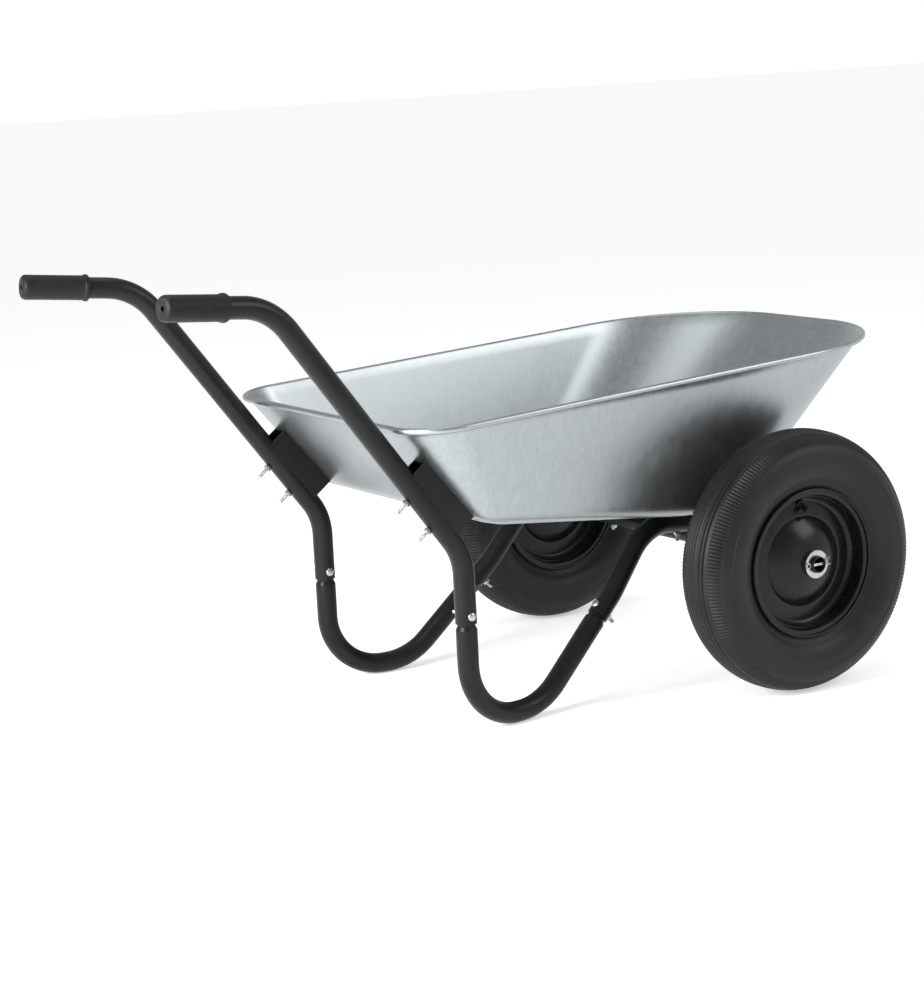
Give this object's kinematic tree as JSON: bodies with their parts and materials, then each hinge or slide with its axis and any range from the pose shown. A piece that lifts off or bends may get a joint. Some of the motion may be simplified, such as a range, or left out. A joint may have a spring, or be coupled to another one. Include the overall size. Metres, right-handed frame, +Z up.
{
  "type": "wheelbarrow",
  "caption": "Garden wheelbarrow: deep pressed steel tray on a bent tube frame with looped legs, plastic grips and air-filled tyres on one axle.",
  "frame": {"origin": "middle of the underside of the bounding box, on the ground", "axes": "+X forward towards the nose of the tray, +Y to the left of the person pushing, +Z up"},
  "size_m": [1.2816, 0.7704, 0.693],
  "materials": {
    "tray_galvanised": "galvanised sheet, cool grey, soft vertical brushing",
    "frame_paint": "black satin powder coat",
    "grip_plastic": "matte black moulded plastic",
    "zinc_hardware": "bright zinc plate",
    "tyre_rubber": "black rubber, satin",
    "inner_tube_rubber": "black butyl rubber, matte",
    "rim_paint": "gloss black paint",
    "bush_nylon": "off-white nylon"
  },
  "bodies": {
    "barrow": {"axle": "frame_paint", "axle_bolt_left": "zinc_hardware", "axle_bolt_right": "zinc_hardware", "axle_nut_left": "zinc_hardware", "axle_nut_right": "zinc_hardware", "axle_saddle_left": "frame_paint", "axle_saddle_right": "frame_paint", "bracket_lower_bolt_left": "zinc_hardware", "bracket_lower_bolt_right": "zinc_hardware", "bracket_lower_nut_left": "zinc_hardware", "bracket_lower_nut_right": "zinc_hardware", "bracket_upper_bolt_left": "zinc_hardware", "bracket_upper_bolt_right": "zinc_hardware", "bracket_upper_nut_left": "zinc_hardware", "bracket_upper_nut_right": "zinc_hardware", "floor_bolt_left": "zinc_hardware", "floor_bolt_right": "zinc_hardware", "floor_nut_left": "zinc_hardware", "floor_nut_right": "zinc_hardware", "front_hoop": "frame_paint", "front_joint_bolt_left": "zinc_hardware", "front_joint_bolt_right": "zinc_hardware", "front_joint_nut_left": "zinc_hardware", "front_joint_nut_right": "zinc_hardware", "grip_left": "grip_plastic", "grip_right": "grip_plastic", "handle_tube_left": "frame_paint", "handle_tube_right": "frame_paint", "leg_tube_left": "frame_paint", "leg_tube_right": "frame_paint", "rear_joint_bolt_left": "zinc_hardware", "rear_joint_bolt_right": "zinc_hardware", "rear_joint_nut_left": "zinc_hardware", "rear_joint_nut_right": "zinc_hardware", "split_pin_left": "zinc_hardware", "split_pin_right": "zinc_hardware", "tray": "tray_galvanised", "tray_bracket_left": "frame_paint", "tray_bracket_right": "frame_paint", "washer_left": "zinc_hardware", "washer_right": "zinc_hardware"},
    "left_wheel": {"tyre_left": "tyre_rubber", "inner_tube_left": "inner_tube_rubber", "valve_cap_left": "grip_plastic", "rim_left": "rim_paint", "wheel_disc_outer_left": "rim_paint", "wheel_disc_inner_left": "rim_paint", "hub_left": "rim_paint", "bush_outer_left": "bush_nylon", "bush_inner_left": "bush_nylon"},
    "right_wheel": {"tyre_right": "tyre_rubber", "inner_tube_right": "inner_tube_rubber", "valve_cap_right": "grip_plastic", "rim_right": "rim_paint", "wheel_disc_outer_right": "rim_paint", "wheel_disc_inner_right": "rim_paint", "hub_right": "rim_paint", "bush_outer_right": "bush_nylon", "bush_inner_right": "bush_nylon"}
  },
  "joints": [
    {"name": "left_wheel_spin", "type": "hinge", "parent": "barrow", "child": "left_wheel", "pos_m": [0.34183, 0.33182, 0.2], "axis": [0, 1, 0], "continuous": true},
    {"name": "right_wheel_spin", "type": "hinge", "parent": "barrow", "child": "right_wheel", "pos_m": [0.34183, -0.33182, 0.2], "axis": [0, 1, 0], "continuous": true}
  ]
}
